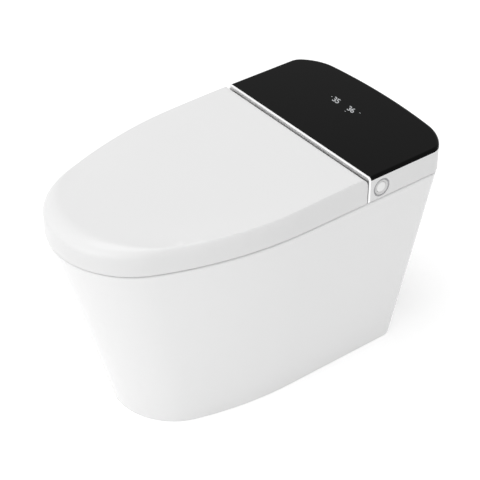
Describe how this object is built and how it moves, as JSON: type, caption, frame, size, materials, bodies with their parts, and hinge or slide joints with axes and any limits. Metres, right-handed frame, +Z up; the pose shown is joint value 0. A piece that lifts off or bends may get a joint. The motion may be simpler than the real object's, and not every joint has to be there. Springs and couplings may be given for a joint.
{
  "type": "smart toilet with heated seat",
  "caption": "Floor-standing toilet with a tapering ceramic skirt, soft-edged white lid over a heated seat, black glass rear panel with a metal strip and a side knob.",
  "frame": {"origin": "on the floor under the middle of the plan", "axes": "+Z up, the nose of the bowl points along -Y, +X is the side with the knob"},
  "size_m": [0.4, 0.714, 0.44],
  "materials": {
    "ceramic": "glossy glaze",
    "white_plastic": "gloss moulded",
    "white_matte": "satin moulded",
    "black_glass": "black back-painted glass",
    "trim_metal": "satin anodised",
    "chrome": "polished",
    "steel": "plain",
    "rubber": "grey rubber",
    "grey_plastic": "moulded",
    "black_plastic": "moulded",
    "board": "printed circuit",
    "foil": "heating foil",
    "brass": "turned",
    "hose": "hose"
  },
  "bodies": {
    "toilet": {"ceramic_body": "ceramic", "ceramic_bowl": "ceramic", "rear_housing": "white_plastic", "top_panel": "black_glass", "trim_strip": "trim_metal", "housing_screws": "steel", "display_board": "board", "approach_sensor": "board", "chassis_plate": "white_matte", "chassis_bolts": "steel", "hinge_bridge": "white_plastic", "lid_drive": "grey_plastic", "seat_drive": "grey_plastic", "knob_bezel": "chrome", "knob_encoder": "black_plastic", "nozzle_cradle": "white_matte", "nozzle_motor": "steel", "dryer_housing": "grey_plastic", "dryer_motor": "steel", "dryer_duct": "grey_plastic", "water_tank": "grey_plastic", "flush_pump": "black_plastic", "rim_hose": "hose", "inlet_valve": "black_plastic", "supply_hose": "hose", "water_inlet": "brass", "power_gland": "black_plastic", "service_bracket": "steel", "heater_tank": "white_matte", "diverter_valve": "grey_plastic", "power_supply": "board", "control_board": "board", "deodoriser": "black_plastic"},
    "lid": {"lid_shell": "white_plastic", "lid_liner": "white_plastic", "lid_bumpers": "rubber", "lid_shaft": "steel"},
    "seat": {"seat_top": "white_plastic", "seat_base": "white_matte", "seat_heater": "foil", "seat_bumpers": "rubber", "seat_shaft": "steel"},
    "knob_dial": {"knob_ring": "white_plastic"},
    "knob_push": {"knob_button": "white_plastic"},
    "nozzle": {"nozzle_wand": "white_matte", "nozzle_tip": "steel"},
    "pinion": {"nozzle_pinion": "grey_plastic"},
    "fan_wheel": {"dryer_wheel": "black_plastic"},
    "air_flap": {"dryer_flap": "white_plastic"}
  },
  "joints": [
    {"name": "lid_hinge", "type": "hinge", "parent": "toilet", "child": "lid", "pos_m": [0, 0.133, 0.428], "axis": [-1, 0, 0], "range_deg": [0, 95]},
    {"name": "seat_hinge", "type": "hinge", "parent": "toilet", "child": "seat", "pos_m": [0, 0.133, 0.428], "axis": [-1, 0, 0], "range_deg": [0, 90.25]},
    {"name": "nozzle_slide", "type": "slide", "parent": "toilet", "child": "nozzle", "axis": [0, -0.9063, -0.4226], "range_m": [0, 0.075]},
    {"name": "nozzle_pinion_spin", "type": "hinge", "parent": "toilet", "child": "pinion", "pos_m": [0, 0.11662, 0.36421], "axis": [1, 0, 0], "range_deg": [0, 538.15]},
    {"name": "dryer_flap_hinge", "type": "hinge", "parent": "toilet", "child": "air_flap", "pos_m": [0.059, 0.0655, 0.3758], "axis": [-1, 0, 0], "range_deg": [0, 70], "stiffness_Nm_per_rad": 0.001},
    {"name": "dryer_fan_spin", "type": "hinge", "parent": "toilet", "child": "fan_wheel", "pos_m": [0.092, 0.215, 0.4], "axis": [0, 0, 1], "continuous": true},
    {"name": "knob_turn", "type": "hinge", "parent": "toilet", "child": "knob_dial", "pos_m": [0.2, 0.177, 0.411], "axis": [1, 0, 0], "range_deg": [-45, 45], "stiffness_Nm_per_rad": 0.02},
    {"name": "knob_press", "type": "slide", "parent": "knob_dial", "child": "knob_push", "axis": [-1, 0, 0], "range_m": [0, 0.002], "stiffness_N_per_m": 800}
  ],
  "couplings": [
    {"joint": "seat_hinge", "follows": "lid_hinge", "ratio": 0.95},
    {"joint": "nozzle_pinion_spin", "follows": "nozzle_slide", "rad_per_m": 125}
  ]
}
